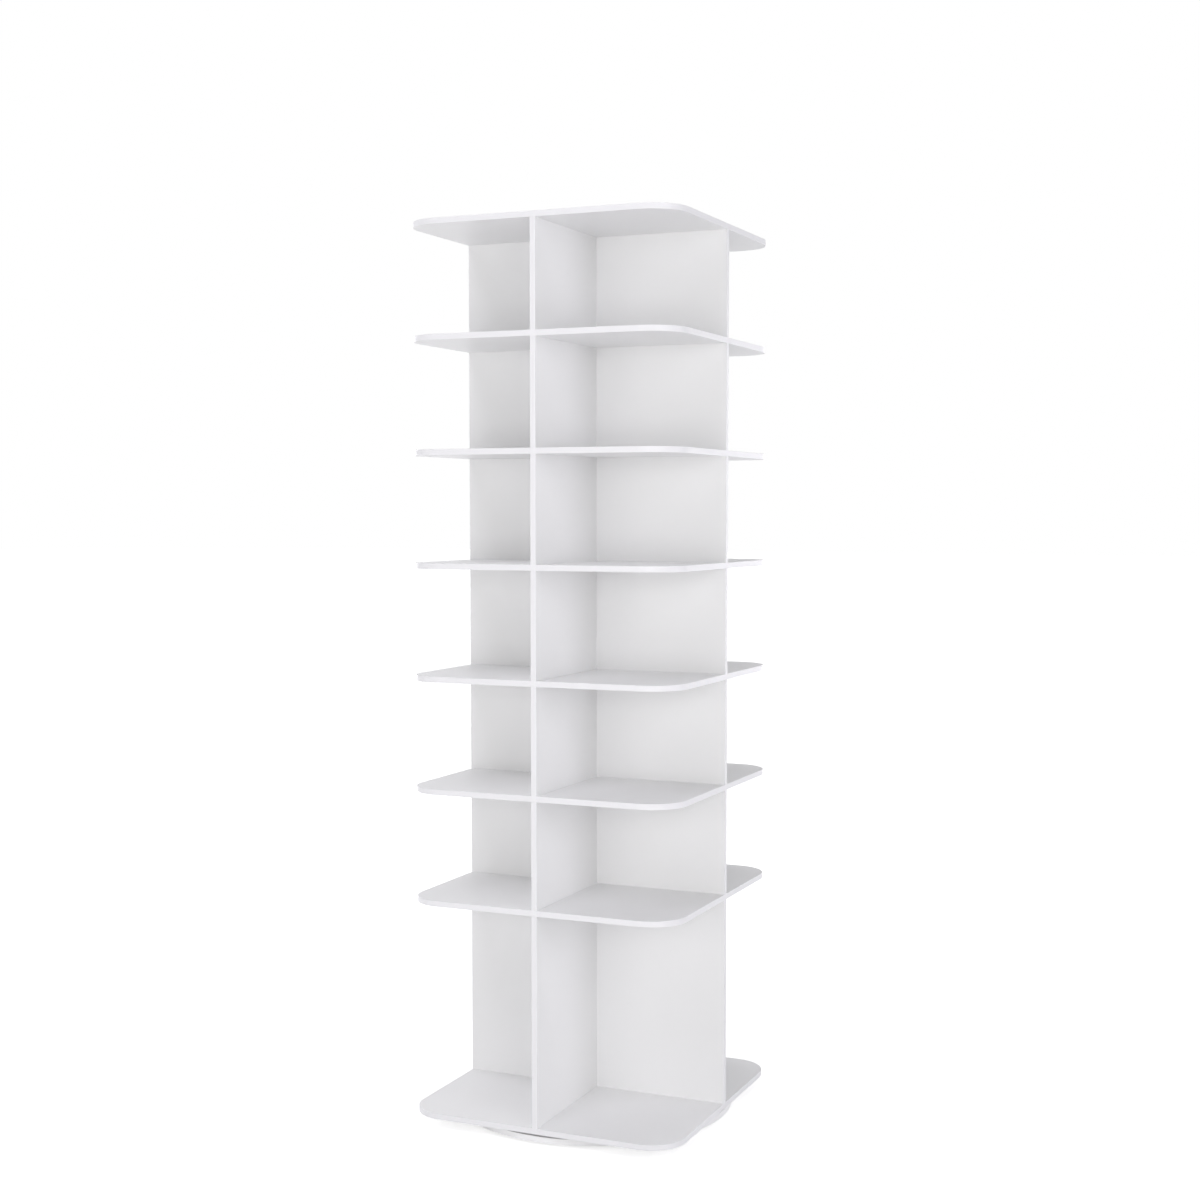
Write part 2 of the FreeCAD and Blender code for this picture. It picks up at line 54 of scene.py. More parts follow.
camera = bpy.data.objects.new("camera", bpy.data.cameras.new("camera"))
bpy.context.scene.collection.objects.link(camera)
camera.location = CAMERA_PLACE
camera.rotation_euler = CAMERA_TURN
camera.data.lens = CAMERA_LENS
camera.data.sensor_width = CAMERA_SENSOR
camera.data.shift_x, camera.data.shift_y = CAMERA_SHIFT
camera.data.clip_start, camera.data.clip_end = CAMERA_REACH
bpy.context.scene.camera = camera
bpy.context.scene.view_settings.view_transform = "Standard"


# ------------------------------------------------------------------------------ studio
# A white studio: a plain pale floor, a white surround and large soft boxes. The floor and the
# surround are brighter where they are seen than where they light the tower, so that they look
# white without washing it out.
class Wire:
    """One output of a shader node. An expression on wires adds the Math nodes it needs."""

    def __init__(self, shader, socket):
        self.shader = shader
        self.socket = socket

    def maths(self, operation, *values):
        return self.shader.add("Math", {"operation": operation}, dict(enumerate(values)))

    def __add__(self, other):
        return self.maths("ADD", self, other)

    def __sub__(self, other):
        return self.maths("SUBTRACT", self, other)

    def __rsub__(self, other):
        return self.maths("SUBTRACT", other, self)

    def __mul__(self, other):
        return self.maths("MULTIPLY", self, other)

    def __truediv__(self, other):
        return self.maths("DIVIDE", self, other)

    def __gt__(self, other):
        return self.maths("GREATER_THAN", self, other)

    def __lt__(self, other):
        return self.maths("LESS_THAN", self, other)

    def __abs__(self):
        return self.maths("ABSOLUTE", self)

    def most(self, other):
        return self.maths("MAXIMUM", self, other)

    def least(self, other):
        return self.maths("MINIMUM", self, other)

    def within(self, low, high):
        return self.most(low).least(high)

    __radd__ = __add__
    __rmul__ = __mul__


class Shader:
    """The nodes of one material, or of the surround."""

    def __init__(self, tree):
        self.tree = tree
        tree.nodes.clear()

    def add(self, kind, settings=None, sockets=None, output=0):
        """Adds a node. Its settings come first, and then its sockets get values or wires."""
        node = self.tree.nodes.new("ShaderNode" + kind)
        for name, value in (settings or {}).items():
            setattr(node, name, value)
        for name, value in (sockets or {}).items():
            if isinstance(value, Wire):
                self.tree.links.new(value.socket, node.inputs[name])
            else:
                node.inputs[name].default_value = value
        return Wire(self, node.outputs[output]) if node.outputs else None

    def blended(self, share, first, second):
        """Two colours mixed by a share from 0 to 1. The Mix node's colours are 6, 7 and out 2."""
        return self.add("Mix", {"data_type": "RGBA"}, {0: share, 6: first, 7: second}, 2)

    def place(self, stretch=(1, 1, 1), shift=(0, 0, 0)):
        """Object coordinates, stretched and shifted for one pattern."""
        spot = self.add("TexCoord", output="Object")
        return self.add("Mapping", None, {"Vector": spot, "Scale": stretch, "Location": shift})

    def along(self, axis):
        """The object coordinate along the axis X, Y or Z."""
        return self.add("SeparateXYZ", None, {"Vector": self.place()}, axis)

    def vector_maths(self, operation, *vectors, output="Vector"):
        return self.add("VectorMath", {"operation": operation}, dict(enumerate(vectors)), output)

    def length(self, vector):
        return self.vector_maths("LENGTH", vector, output="Value")

    def noise(self, scale, detail=2.0, rough=0.5, stretch=(1, 1, 1), shift=(0, 0, 0)):
        """Noise about 0.5, with scale blotches in a metre."""
        return self.add("TexNoise", None, {
            "Vector": self.place(stretch, shift), "Scale": scale,
            "Detail": detail, "Roughness": rough,
        })

    def bump(self, height, distance):
        """Relief from a height of 0 to 1, which stands for this distance in metres."""
        return self.add("Bump", None, {"Height": height, "Distance": distance, "Strength": 1.0})

    def surface(self, **sockets):
        """The material's own shader. A name with an underline stands for one with a space."""
        named = {name.replace("_", " "): value for name, value in sockets.items()}
        self.add("OutputMaterial", None, {"Surface": self.add("BsdfPrincipled", None, named)})

    def seen(self):
        """1 for what is seen directly, in a gloss or through glass, and 0 for lighting."""
        rays = ("Is Camera Ray", "Is Glossy Ray", "Is Transmission Ray")
        direct, glossy, passing = [self.add("LightPath", output=ray) for ray in rays]
        return direct.most(glossy).most(passing)


def new_material(name):
    material = bpy.data.materials.new(name)
    material.use_nodes = True
    return material, Shader(material.node_tree)


WHITE = (1, 1, 1, 1)
FLOOR_SIDE = 80.0
FLOOR_MIDDLE = (0, 9.0, -0.0002)    # a hair below the pads' soles
FLOOR_COLOUR = (0.84, 0.84, 0.84, 1)
FLOOR_GLOW_NEAR = 0.62          # added only where the floor is seen, so that it looks white
FLOOR_GLOW_FAR = 1.0            # far out, where the boxes hardly reach
GLOW_NEAR_RADIUS = 1.2
GLOW_FAR_RADIUS = 4.0
AMBIENT = (0.98, 0.985, 1.0, 1)
AMBIENT_STRENGTH = 0.26

bpy.ops.mesh.primitive_plane_add(size=FLOOR_SIDE, location=FLOOR_MIDDLE)
bpy.ops.object.transform_apply(location=True)
floor = bpy.context.active_object
floor.name = "studio_floor"
floor_material, shader = new_material("studio_floor")
matt = shader.add("BsdfDiffuse", None, {"Color": FLOOR_COLOUR})
out = (shader.length(shader.place()) - GLOW_NEAR_RADIUS) / (GLOW_FAR_RADIUS - GLOW_NEAR_RADIUS)
extra = out.within(0.0, 1.0) * (FLOOR_GLOW_FAR - FLOOR_GLOW_NEAR)
strength = shader.seen() * (FLOOR_GLOW_NEAR + extra)
glow = shader.add("Emission", None, {"Color": WHITE, "Strength": strength})
lit = shader.add("AddShader", None, {0: matt, 1: glow})
from_below = shader.add("NewGeometry", output="Backfacing")
clear = shader.add("BsdfTransparent")
one_sided = shader.add("MixShader", None, {0: from_below, 1: lit, 2: clear})
shader.add("OutputMaterial", None, {"Surface": one_sided})
floor.data.materials.append(floor_material)

world = bpy.data.worlds.new("studio_surround")
world.use_nodes = True
bpy.context.scene.world = world
shader = Shader(world.node_tree)
seen = shader.seen()
surround = shader.add("Background", None, {
    "Color": shader.blended(seen, AMBIENT, WHITE),
    "Strength": seen + (1 - seen) * AMBIENT_STRENGTH,
})
shader.add("OutputWorld", None, {"Surface": surround})

# Each box: azimuth and elevation from the tower in degrees, with azimuth 0 in front and 90 to
# the right, distance, side, watts and colour.
COOL, NEUTRAL, WARM = (0.94, 0.925, 1.0), (0.975, 0.965, 1.0), (1.0, 0.995, 0.93)
SOFT_BOXES = {
    "key_box": (55, 22, 4.6, 1.8, 29.5, NEUTRAL),
    "low_key_box": (40, 2, 4.6, 1.8, 22.5, WARM),
    "front_box": (10, 2, 4.6, 1.8, 34.0, NEUTRAL),
    "front_left_box": (-10, 2, 4.6, 1.8, 16.0, WARM),
    "left_box": (-50, 2, 4.6, 1.8, 11.0, WARM),
    "far_left_box": (-100, 22, 4.6, 1.8, 56.0, NEUTRAL),
    "right_box": (105, 2, 4.6, 1.8, 40.0, COOL),
    "high_box": (-10, 48, 4.6, 1.8, 39.0, COOL),
    "top_box": (0, 88, 3.8, 3.0, 30.0, NEUTRAL),
    "back_right_box": (168, 4, 4.6, 1.8, 30.0, NEUTRAL),
    "back_left_box": (238, 4, 4.6, 1.8, 34.0, NEUTRAL),
}
LIT_POINT = Vector((0, 0, 0.95))    # about the tower's middle
for name, (azimuth, elevation, distance, side, watts, colour) in SOFT_BOXES.items():
    lamp = bpy.data.lights.new(name, "AREA")
    lamp.shape = "SQUARE"
    lamp.size = side
    lamp.energy = watts
    lamp.color = colour
    soft_box = bpy.data.objects.new(name, lamp)
    bpy.context.scene.collection.objects.link(soft_box)
    turn, rise = math.radians(azimuth), math.radians(elevation)
    outwards = Vector((
        math.sin(turn) * math.cos(rise), -math.cos(turn) * math.cos(rise), math.sin(rise),
    ))
    soft_box.location = LIT_POINT + outwards * distance
    soft_box.rotation_euler = outwards.to_track_quat("Z", "Y").to_euler()
    soft_box.visible_camera = False
# The far left box's glare would burn out the far ends of the shelves' bands.
bpy.data.objects["far_left_box"].visible_glossy = False

# ------------------------------------------------------------------------------ foot pads
# Eight pads of moulded black rubber, glued under the base near its rim. Rings are pressed into
# the sole for grip, and its lower edge is rounded.
PAD_RADIUS = 0.015
PAD_THICKNESS = 0.006
PAD_CIRCLE_RADIUS = 0.261
PAD_COUNT = 8
PAD_SIDES = 48
PAD_EDGE_ROUNDING = 0.0008
PAD_EDGE_STEPS = 3
PAD_SOLE_RIM = 0.0022
PAD_GROOVES = 4
PAD_GROOVE_DEPTH = 0.0006
PAD_GROOVE_WIDTH = 0.0009
PAD_GROOVE_SLOPE = 0.0002
PAD_RIDGE_WIDTH = 0.0013
RUBBER_RELIEF = 0.00004
RUBBER_BLACK = (0.052, 0.052, 0.055, 1)
RUBBER_DUSTY = (0.16, 0.158, 0.15, 1)
SMOOTH_ANGLE = 35               # degrees: a sharper edge stays an edge
SLACK = 1e-5                    # allowed where a vertex's place is tested
FACING = 0.9                    # of a normal that counts as lying along an axis


def start_on(piece, name=None):
    """Makes this the one piece that the operators act on, and opens it in edit mode."""
    if name:
        piece.name = piece.data.name = name
    bpy.ops.object.select_all(action="DESELECT")
    piece.select_set(True)
    bpy.context.view_layer.objects.active = piece
    bpy.ops.object.transform_apply(location=True, rotation=True, scale=True)
    bpy.ops.object.mode_set(mode="EDIT")


def pick(kind, test):
    """In edit mode, selects just the faces, edges or vertices that pass a test."""
    bpy.ops.mesh.select_mode(type=kind)
    bpy.ops.mesh.select_all(action="DESELECT")
    mesh = bmesh.from_edit_mesh(bpy.context.active_object.data)
    for part in {"FACE": mesh.faces, "EDGE": mesh.edges, "VERT": mesh.verts}[kind]:
        if test(part):
            part.select_set(True)
    bmesh.update_edit_mesh(bpy.context.active_object.data)


def end_shaping(smooth_angle=SMOOTH_ANGLE):
    """Turns the faces outwards and leaves edit mode."""
    bpy.ops.mesh.select_all(action="SELECT")
    bpy.ops.mesh.normals_make_consistent(inside=False)
    bpy.ops.object.mode_set(mode="OBJECT")
    bpy.ops.object.shade_smooth_by_angle(angle=math.radians(smooth_angle))
    return bpy.context.active_object


def copied(piece, name, move):
    """A copy with a mesh of its own, moved to its place."""
    twin = piece.copy()
    twin.data = piece.data.copy()
    twin.name = twin.data.name = name
    twin.data.transform(move)
    bpy.context.scene.collection.objects.link(twin)
    return twin


def joined(name, parts):
    """Like pieces made one object."""
    bpy.ops.object.select_all(action="DESELECT")
    for part in parts:
        part.select_set(True)
    bpy.context.view_layer.objects.active = parts[0]
    bpy.ops.object.join()
    parts[0].name = parts[0].data.name = name
    return parts[0]


def hand_over(piece, material, body, node):
    """Gives a piece its material and its body, and hides the node it stands in for."""
    piece.data.materials.clear()
    piece.data.materials.append(material)
    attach(piece, body)
    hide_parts(node)


rubber, shader = new_material("pad_rubber")
grain = shader.noise(2600, 3)
dust = ((shader.noise(90, 4) - 0.5) * 2.2).within(0.0, 0.5)
shader.surface(
    Base_Color=shader.blended(dust, RUBBER_BLACK, RUBBER_DUSTY),
    Roughness=0.70 + grain * 0.16,
    Normal=shader.bump(grain, RUBBER_RELIEF),
)


def on_sole_edge(vertex):
    from_middle = math.hypot(vertex.co.x - PAD_CIRCLE_RADIUS, vertex.co.y)
    return vertex.co.z < SLACK and from_middle > PAD_RADIUS - SLACK


bpy.ops.mesh.primitive_cylinder_add(
    vertices=PAD_SIDES, radius=PAD_RADIUS, depth=PAD_THICKNESS,
    location=(PAD_CIRCLE_RADIUS, 0, PAD_THICKNESS / 2))
start_on(bpy.context.active_object, "pad_pattern")
pick("FACE", lambda face: face.normal.z < -FACING)
bpy.ops.mesh.inset(thickness=PAD_SOLE_RIM)
for groove in range(PAD_GROOVES):
    bpy.ops.mesh.inset(thickness=PAD_GROOVE_SLOPE, depth=-PAD_GROOVE_DEPTH)
    bpy.ops.mesh.inset(thickness=PAD_GROOVE_WIDTH)
    bpy.ops.mesh.inset(thickness=PAD_GROOVE_SLOPE, depth=PAD_GROOVE_DEPTH)
    if groove < PAD_GROOVES - 1:
        bpy.ops.mesh.inset(thickness=PAD_RIDGE_WIDTH)
pick("EDGE", lambda edge: all(on_sole_edge(vertex) for vertex in edge.verts))
bpy.ops.mesh.bevel(offset=PAD_EDGE_ROUNDING, segments=PAD_EDGE_STEPS)
pad_pattern = end_shaping()
for i in range(PAD_COUNT):
    turned = Matrix.Rotation(math.tau * (i + 0.5) / PAD_COUNT, 4, "Z")
    pad = copied(pad_pattern, f"foot_pad_{i + 1}", turned)
    hand_over(pad, rubber, "base", "foot_pads")
bpy.data.objects.remove(pad_pattern)

# ------------------------------------------------------------------------------ base disc
# A round particle board with white melamine paper pressed on both faces. The paper has a very
# fine grain, and where the board is sawn or drilled its wood chips show.
BOARD_THICKNESS = 0.012
PAPER_THICKNESS = 0.00015
GLUE_LINE = 0.0005
BAND_THICKNESS = 0.001
BASE_RADIUS = 0.296
BASE_MIDDLE = 0.012             # height of the board's mid-plane
CHIPS = 520                     # in a metre
CHIP_RELIEF = 0.0003
PAPER_WHITE = (0.862, 0.861, 0.864, 1)
PAPER_SHADE = (0.836, 0.836, 0.841, 1)
GLUE_GREY = (0.60, 0.59, 0.57, 1)
CHIP_LIGHT = (0.62, 0.47, 0.30, 1)
CHIP_DARK = (0.30, 0.19, 0.10, 1)
FLAT = (1, 1, 0)                # a stretch that leaves the height out


def laminated_board(name, axis, middle, rim):
    """Board material. The paper lies off the mid-plane across the axis, and rim gives the
    distance in from the board's outline, for the thin line of glue at the edge band."""
    material, shader = new_material(name)
    paper = abs(shader.along(axis) - middle) > (BOARD_THICKNESS / 2 - PAPER_THICKNESS)
    grain = shader.noise(1500, 3, 0.6)
    cloud = shader.noise(7, 3, 0.6)
    shade = (cloud * 0.6 + grain * 0.4 - 0.35).most(0.0)
    glue = (1 - rim(shader) / GLUE_LINE).within(0.0, 1.0) * 0.45
    white = shader.blended(glue, shader.blended(shade, PAPER_WHITE, PAPER_SHADE), GLUE_GREY)
    chips = shader.add("TexVoronoi", None, {"Vector": shader.place(), "Scale": CHIPS}, "Color")
    chip_tone = shader.add("SeparateColor", None, {"Color": chips})
    fibres = shader.noise(900, 4, 0.7)
    core = shader.blended((chip_tone * 0.7 + fibres * 0.45).least(1.0), CHIP_DARK, CHIP_LIGHT)
    shader.surface(
        Base_Color=shader.blended(paper, core, white),
        Roughness=0.90 - paper * (0.52 - grain * 0.10),
        Normal=shader.bump(paper * grain * 0.06 + (1 - paper) * fibres, CHIP_RELIEF),
    )
    return material


def disc_rim(shader):
    return (BASE_RADIUS - BAND_THICKNESS) - shader.length(shader.place(FLAT))


def dress(node_name, material):
    """Gives a carried-over node its material."""
    for i in range(len(nodes[node_name].data.materials)):
        nodes[node_name].data.materials[i] = material


dress("base_disc", laminated_board("base_board", "Z", BASE_MIDDLE, disc_rim))

# ------------------------------------------------------------------------------ base edge band
# A thin white plastic band glued round the base board, with both its edges scraped round. It is
# a little glossier than the paper and has faint lines along its length. Its ends meet in a fine
# upright joint at the back.
# Painted light: these whites are lighter than the shelves' band of the same plastic, to make up
# for the little light that reaches this band low down by the floor.
BASE_BAND_COLOURS_PAINTED_LIGHTER = ((0.935, 0.932, 0.940, 1), (0.915, 0.913, 0.922, 1))
BAND_RELIEF = 0.000015
BAND_LINE_STRETCH = 0.004       # small along the band, so that its lines run that way
ROUND_THE_BOARD = (BAND_LINE_STRETCH, BAND_LINE_STRETCH, 1)
JOINT_GREY = (0.52, 0.51, 0.50, 1)
JOINT_FROM_MIDDLE = 0.018
JOINT_HALF_WIDTH = 0.00012


def edge_band(name, stretch, colours, jointed):
    """Band material. jointed is 1 where the band's ends meet at the back, and else 0."""
    material, shader = new_material(name)
    lines = shader.noise(5200, 2, 0.6, stretch)
    skin = shader.noise(2400, 2)
    at_joint = abs(shader.along("X") - JOINT_FROM_MIDDLE) < JOINT_HALF_WIDTH
    joint = at_joint * (shader.along("Y") > 0.0) * jointed
    white = shader.blended(lines * 0.5 + skin * 0.3, *colours)
    shader.surface(
        Base_Color=shader.blended(joint, white, JOINT_GREY),
        Roughness=0.30 + lines * 0.14 + joint * 0.3,
        Normal=shader.bump(lines * 0.5 + skin * 0.5 - joint * 2.0, BAND_RELIEF),
    )
    return material


dress("base_edge_band", edge_band("base_edge_band", ROUND_THE_BOARD, BASE_BAND_COLOURS_PAINTED_LIGHTER, 1))

# ------------------------------------------------------------------------------ turntable plates
# Two square plates of pressed sheet steel with a bright zinc coat. The coat is cloudy, with a
# faint yellow cast in places, and rolling marks run along the sheet under it.
ZINC_LIGHT = (0.66, 0.67, 0.69, 1)
ZINC_DARK = (0.52, 0.53, 0.53, 1)
ZINC_YELLOW = (0.66, 0.63, 0.54, 1)
YELLOW_SHIFT = (0.3, 0.1, 0.7)  # so that the yellow doesn't follow the clouds
ROLLING_STRETCH = (0.01, 1, 1)
PLATE_RELIEF = 0.00002


def zinc_coat(name, clouds, roughness, relief):
    """Zinc-plated steel, with this many cloudy patches in a metre."""
    material, shader = new_material(name)
    cloud = shader.noise(clouds, 4, 0.65)
    yellow = (shader.noise(clouds * 0.4, 2, 0.5, shift=YELLOW_SHIFT) - 0.45).most(0.0) * 1.5
    marks = shader.noise(3000, 2, 0.5, ROLLING_STRETCH)
    grey = shader.blended(cloud, ZINC_DARK, ZINC_LIGHT)
    shader.surface(
        Base_Color=shader.blended(yellow, grey, ZINC_YELLOW),
        Metallic=1.0,
        Roughness=roughness + cloud * 0.16 + marks * 0.06,
        Normal=shader.bump(marks * 0.6 + cloud * 0.4, relief),
    )
    return material


plate_zinc = zinc_coat("plate_zinc", 60, 0.24, PLATE_RELIEF)
dress("turntable_lower_plate", plate_zinc)
dress("turntable_upper_plate", plate_zinc)

# ------------------------------------------------------------------------------ plate screws
# Pan-head wood screws of zinc-plated steel with a cross recess. Four fix the lower plate on the
# base, and four fix the upper plate under the bottom shelf.
LOWER_PLATE_FACE = 0.0192       # height of the face that the screws' heads lie on
UPPER_PLATE_FACE = 0.0218
SCREW_REACH = 0.1375            # from the axis to a screw, along X and along Y
SCREW_HEAD_HEIGHT = 0.0009
SCREW_HEAD_RINGS = (            # (radius, height), from under the head to its flat middle
    (0.0035, 0.0), (0.0035, 0.0004), (0.0033, 0.00065), (0.0028, 0.00083),
    (0.0022, SCREW_HEAD_HEIGHT),
)
SCREW_CORE_RADIUS = 0.00125
SCREW_THREAD_RADIUS = 0.00175
SCREW_PITCH = 0.0011
SCREW_LENGTH = 0.010
SCREW_POINT = 0.0018
SCREW_TIP_RADIUS = 0.0001
SCREW_BARE_NECK = 0.0002        # without a thread, under the head
SCREW_SIDES = 24
LOWER_SCREW_TURN = 0.7          # radians, from one screw's cross to the next one's
UPPER_SCREW_TURN = 1.1
RECESS_WIDTH = 0.0008
RECESS_REACH = 0.0017
RECESS_DEPTH = 0.0007
RECESS_TAPER = 0.5              # of its size, at the bottom
FASTENER_RELIEF = 0.00001


def turned_piece(name, outline, sides):
    """A round piece about the Z axis, drawn out ring by ring from (radius, height)."""
    radius, height = outline[0]
    bpy.ops.object.select_all(action="DESELECT")
    bpy.ops.mesh.primitive_circle_add(
        vertices=sides, radius=radius, fill_type="NGON", location=(0, 0, height))
    start_on(bpy.context.active_object, name)
    bpy.ops.mesh.select_all(action="SELECT")
    for next_radius, next_height in outline[1:]:
        rise = (0, 0, next_height - height)
        bpy.ops.mesh.extrude_region_move(TRANSFORM_OT_translate={"value": rise})
        factor = next_radius / radius
        bpy.ops.transform.resize(value=(factor, factor, 1), center_override=(0, 0, next_height))
        radius, height = next_radius, next_height


def thread(start, end, core, crest, pitch):
    """(radius, height) rings of a thread, upwards."""
    turns = int((end - start) / pitch)
    rings = []
    for i in range(turns):
        rings += [(core, start + i * pitch), (crest, start + (i + 0.5) * pitch)]
    return rings + [(core, start + turns * pitch)]


def cut_cross(piece, height, direction):
    """Cuts the tapered cross for a screwdriver, from a face at this height on the Z axis."""
    for turn in (0, 90):
        bpy.ops.object.select_all(action="DESELECT")
        bpy.ops.mesh.primitive_cube_add(size=1, location=(0, 0, height))
        cutter = bpy.context.active_object
        cutter.scale = (RECESS_REACH * 2, RECESS_WIDTH, RECESS_DEPTH * 2)
        cutter.rotation_euler = (0, 0, math.radians(turn))
        start_on(cutter)
        pick("FACE", lambda face: face.normal.z * direction < -FACING)
        bpy.ops.transform.resize(value=(RECESS_TAPER, RECESS_TAPER, 1), center_override=(0, 0, 0))
        bpy.ops.object.mode_set(mode="OBJECT")
        bpy.ops.object.select_all(action="DESELECT")
        piece.select_set(True)
        bpy.context.view_layer.objects.active = piece
        bpy.ops.object.modifier_add(type="BOOLEAN")
        cut = piece.modifiers[-1]
        cut.operation = "DIFFERENCE"
        cut.solver = "EXACT"
        cut.object = cutter
        bpy.ops.object.modifier_apply(modifier=cut.name)
        bpy.data.objects.remove(cutter)


bright_zinc = zinc_coat("bright_zinc", 400, 0.18, FASTENER_RELIEF)
turned_piece("screw_pattern", [
    (SCREW_TIP_RADIUS, -SCREW_LENGTH),
    *thread(
        SCREW_POINT - SCREW_LENGTH, -SCREW_BARE_NECK,
        SCREW_CORE_RADIUS, SCREW_THREAD_RADIUS, SCREW_PITCH),
    (SCREW_CORE_RADIUS, 0.0),
    *SCREW_HEAD_RINGS,
], SCREW_SIDES)
screw_pattern = end_shaping()
cut_cross(screw_pattern, SCREW_HEAD_HEIGHT, 1)
upside_down = Matrix.Rotation(math.pi, 4, "X")
corners = [(x, y) for x in (-SCREW_REACH, SCREW_REACH) for y in (-SCREW_REACH, SCREW_REACH)]
for i, (x, y) in enumerate(corners, start=1):
    on_lower = Matrix.Translation((x, y, LOWER_PLATE_FACE))
    on_upper = Matrix.Translation((x, y, UPPER_PLATE_FACE)) @ upside_down
    low = on_lower @ Matrix.Rotation(LOWER_SCREW_TURN * i, 4, "Z")
    high = on_upper @ Matrix.Rotation(UPPER_SCREW_TURN * i, 4, "Z")
    for name, move, body in (("lower", low, "base"), ("upper", high, "tower")):
        screw = copied(screw_pattern, f"{name}_plate_screw_{i}", move)
        hand_over(screw, bright_zinc, body, f"{name}_plate_screws")
bpy.data.objects.remove(screw_pattern)

# ------------------------------------------------------------------------------ bearing balls
# Loose balls of polished bearing steel, which carry the tower between the plates. They have the
# hair-fine marks of running in the groove and a film of grease.
BALL_STEEL = (0.80, 0.80, 0.82, 1)
BALL_GREASE = (0.70, 0.67, 0.58, 1)
BALL_RELIEF = 0.000003

ball_steel, shader = new_material("ball_steel")
scratches = shader.noise(4000, 3, 0.7, (1, 1, 0.05))
film = (shader.noise(600, 3) - 0.45).most(0.0) * 1.6
shader.surface(
    Base_Color=shader.blended(film, BALL_STEEL, BALL_GREASE),
    Metallic=1.0,
    Roughness=0.05 + scratches * 0.06 + film * 0.15,
    Normal=shader.bump(scratches, BALL_RELIEF),
)
dress("bearing_balls", ball_steel)

# ------------------------------------------------------------------------------ ball cage
# A flat ring of natural nylon with a pocket for each ball. The nylon is slightly yellow and matt,
# with flow marks from the mould.
NYLON_DARK = (0.70, 0.685, 0.61, 1)
NYLON_LIGHT = (0.82, 0.81, 0.76, 1)
NYLON_RELIEF = 0.00003

cage_nylon, shader = new_material("cage_nylon")
flow = shader.noise(140, 4, 0.6)
grain = shader.noise(3500, 2)
shader.surface(
    Base_Color=shader.blended(flow, NYLON_DARK, NYLON_LIGHT),
    Roughness=0.42 + grain * 0.16,
    Normal=shader.bump(grain * 0.5 + flow * 0.5, NYLON_RELIEF),
)
dress("ball_cage", cage_nylon)

# ------------------------------------------------------------------------------ shelves
# Eight square boards with round corners, of the same laminated particle board as the base. Bolts
# hold each one to the panels that stand on it or under it, and its grain lies in its own way.
SHELF_HALF = 0.300
SHELF_CORNER_RADIUS = 0.075
SHOE_TIERS = 6
BOOT_TIER_HEIGHT = 0.435        # clear, as the shoe tiers' is
SHOE_TIER_HEIGHT = 0.220
SHELF_STEP = SHOE_TIER_HEIGHT + BOARD_THICKNESS
BOTTOM_SHELF_FACE = 0.035       # its upper face
SHELF_BOTTOMS = [BOTTOM_SHELF_FACE + BOOT_TIER_HEIGHT + SHELF_STEP * i for i in range(SHOE_TIERS)]
TOP_SHELF_FACE = SHELF_BOTTOMS[-1] + SHELF_STEP     # its lower face
SHELF_MIDDLES = {
    "bottom_shelf": BOTTOM_SHELF_FACE - BOARD_THICKNESS / 2,
    "top_shelf": TOP_SHELF_FACE + BOARD_THICKNESS / 2,
}
for i, bottom in enumerate(SHELF_BOTTOMS, start=1):
    SHELF_MIDDLES[f"shelf_{i}"] = bottom + BOARD_THICKNESS / 2


def shelf_rim(shader):
    """The distance in from a shelf's edge band, up to the radius of its corners."""
    straight = SHELF_HALF - SHELF_CORNER_RADIUS
    apart = shader.vector_maths("ABSOLUTE", shader.place(FLAT))
    past = shader.vector_maths("SUBTRACT", apart, (straight, straight, 0))
    past = shader.vector_maths("MAXIMUM", past, (0, 0, 0))
    return (SHELF_CORNER_RADIUS - BAND_THICKNESS) - shader.length(past)


for name, middle in SHELF_MIDDLES.items():
    dress(name, laminated_board(f"{name}_board", "Z", middle, shelf_rim))

# ------------------------------------------------------------------------------ shelf edge bands
# A plastic band like the base's, glued round each shelf and bent round its four corners. Its ends
# meet at the back too. These are the plastic's own whites; the base's band is painted lighter.
BAND_COLOURS = ((0.842, 0.838, 0.856, 1), (0.822, 0.819, 0.838, 1))

dress("shelf_edge_bands", edge_band("shelf_edge_band", ROUND_THE_BOARD, BAND_COLOURS, 1))

# ------------------------------------------------------------------------------ panels
# In each tier a wide panel stands right across the tower, and two half panels stand in front of
# it and behind it, edge on. They are sawn from the same board as the shelves.
TIERS = ("boot_tier",) + tuple(f"tier_{i}" for i in range(1, SHOE_TIERS + 1))


def panel_rim(axis):
    """For a panel that runs along this axis: the distance in from its outer upright edges."""
    def rim(shader):
        return (SHELF_HALF - BAND_THICKNESS) - abs(shader.along(axis))
    return rim


wide_panel_board = laminated_board("wide_panel_board", "Y", 0.0, panel_rim("X"))
half_panel_board = laminated_board("half_panel_board", "X", 0.0, panel_rim("Y"))
for tier in TIERS:
    dress(f"{tier}_wide_panel", wide_panel_board)
    dress(f"{tier}_front_panel", half_panel_board)
    dress(f"{tier}_back_panel", half_panel_board)

# ------------------------------------------------------------------------------ panel edge bands
# The shelves' plastic band, glued on the outer upright edge of each panel. Its lines run upright,
# and it has no joint.
UPRIGHT = (1, 1, BAND_LINE_STRETCH)

dress("panel_edge_bands", edge_band("upright_edge_band", UPRIGHT, BAND_COLOURS, 0))

# ------------------------------------------------------------------------------ cam locks
# Die-cast zinc cams, set in round bores in the panels and turned to grip the bolts' heads. The
# castings have a grainy grey skin with lighter and darker patches.
CAST_DARK = (0.42, 0.43, 0.44, 1)
CAST_LIGHT = (0.68, 0.68, 0.69, 1)
CAST_RELIEF = 0.00004

cam_zinc, shader = new_material("cam_zinc")
skin = shader.noise(2200, 4, 0.65)
cloud = shader.noise(260, 2)
shader.surface(
    Base_Color=shader.blended(skin * 0.6 + cloud * 0.5, CAST_DARK, CAST_LIGHT),
    Metallic=1.0,
    Roughness=0.34 + skin * 0.22,
    Normal=shader.bump(skin, CAST_RELIEF),
)
dress("cam_locks", cam_zinc)

